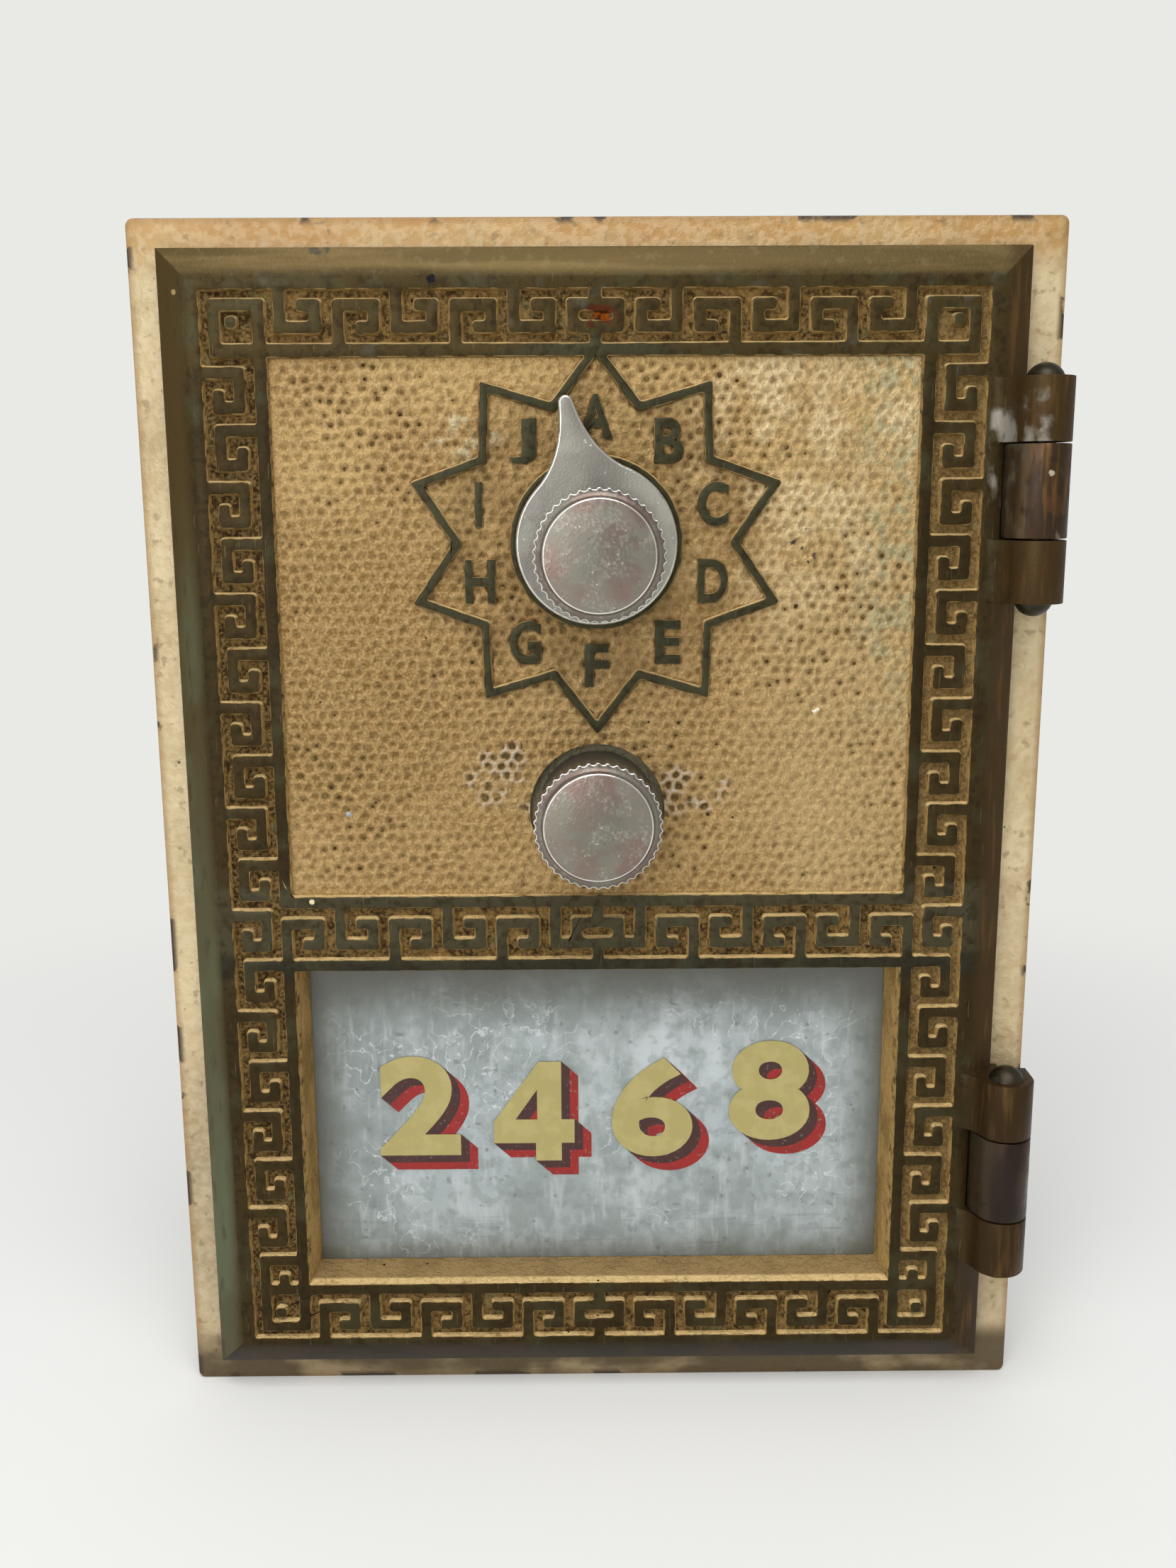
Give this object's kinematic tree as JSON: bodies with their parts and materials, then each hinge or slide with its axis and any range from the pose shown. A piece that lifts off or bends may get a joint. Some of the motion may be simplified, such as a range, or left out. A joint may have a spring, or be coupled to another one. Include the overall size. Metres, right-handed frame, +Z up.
{
  "type": "post office box door",
  "caption": "Cast post office box door with key-fret border, letter dial, finger knob, glazed window and latch, hinged in a thin front frame.",
  "frame": {"origin": "centre of the four tapped mounting bosses, in the plane of their rear faces, level with the middle of the door", "axes": "+Z up, -Y out of the door's front face, +X towards the hinges"},
  "size_m": [0.1376, 0.0394, 0.1873],
  "materials": {
    "door_brass": "cast brass, raised lines dark olive brown, ground golden tan",
    "frame_brass": "cream-tan worn lacquer over brass with an orange-peel surface",
    "hinge_brass": "dark brown brass with grey streaks",
    "sheet_brass": "plain rolled brass",
    "lock_brass": "turned and milled brass",
    "knob_metal": "dull turned white metal with a pinkish tint",
    "pointer_metal": "matte speckled white metal with a bright edge",
    "pin_steel": "blackened steel",
    "screw_steel": "plain steel",
    "spring_steel": "spring wire",
    "window_glass": "thick glass, mottled and scratched"
  },
  "bodies": {
    "frame": {"frame_plate": "frame_brass", "upper_frame_knuckle": "hinge_brass", "lower_frame_knuckle": "hinge_brass", "knuckle_screws": "screw_steel"},
    "door": {"door_casting": "door_brass", "upper_hinge_pin": "pin_steel", "lower_hinge_pin": "pin_steel", "window_glass": "window_glass", "glass_retainer": "sheet_brass", "retainer_screws": "screw_steel", "wheel_post": "lock_brass", "front_spacer": "lock_brass", "rear_spacer": "lock_brass", "post_clip": "screw_steel", "latch_bushing": "lock_brass", "left_bolt_guide": "lock_brass", "right_bolt_guide": "lock_brass", "guide_screws": "screw_steel", "lever_pivot_screw": "screw_steel", "bridge_pillars": "lock_brass", "bridge_plate": "lock_brass", "bridge_screws": "screw_steel", "latch_spring": "spring_steel"},
    "dial": {"dial_knob": "knob_metal", "pointer_plate": "pointer_metal", "dial_spindle": "screw_steel", "drive_cam": "lock_brass", "drive_pin": "screw_steel", "cam_nut": "screw_steel"},
    "wheel_one": {"front_wheel": "lock_brass", "front_wheel_pin": "screw_steel"},
    "wheel_two": {"middle_wheel": "lock_brass", "middle_wheel_pins": "screw_steel"},
    "wheel_three": {"rear_wheel": "lock_brass", "rear_wheel_pins": "screw_steel"},
    "latch": {"latch_knob": "knob_metal", "latch_spindle": "screw_steel", "latch_cam": "lock_brass", "crank_pin": "screw_steel"},
    "bolt": {"latch_bolt": "lock_brass"},
    "fence": {"fence_lever": "lock_brass", "lever_pin": "screw_steel"}
  },
  "joints": [
    {"name": "door_swing", "type": "hinge", "parent": "frame", "child": "door", "pos_m": [0.06505, -0.0163, 0], "axis": [0, 0, 1], "range_deg": [0, 150]},
    {"name": "dial_turn", "type": "hinge", "parent": "door", "child": "dial", "pos_m": [0, 0, 0.04675], "axis": [0, 1, 0], "continuous": true},
    {"name": "wheel_one_turn", "type": "hinge", "parent": "door", "child": "wheel_one", "pos_m": [0, 0, 0.04675], "axis": [0, 1, 0], "continuous": true},
    {"name": "wheel_two_turn", "type": "hinge", "parent": "door", "child": "wheel_two", "pos_m": [0, 0, 0.04675], "axis": [0, 1, 0], "continuous": true},
    {"name": "wheel_three_turn", "type": "hinge", "parent": "door", "child": "wheel_three", "pos_m": [0, 0, 0.04675], "axis": [0, 1, 0], "continuous": true},
    {"name": "latch_turn", "type": "hinge", "parent": "door", "child": "latch", "pos_m": [0, 0, 0.0059], "axis": [0, 1, 0], "range_deg": [0, 60], "deforming": ["latch_spring"]},
    {"name": "bolt_slide", "type": "slide", "parent": "door", "child": "bolt", "axis": [1, 0, 0], "range_m": [0, 0.0075], "stiffness_N_per_m": 150, "springref_m": -0.004},
    {"name": "fence_rock", "type": "hinge", "parent": "door", "child": "fence", "pos_m": [0.024, 0, 0.03], "axis": [0, 1, 0], "range_deg": [0, 8]}
  ],
  "couplings": [
    {"joint": "latch_turn", "follows": "bolt_slide", "rad_per_m": 139.62},
    {"joint": "fence_rock", "follows": "bolt_slide", "rad_per_m": 18.616}
  ]
}
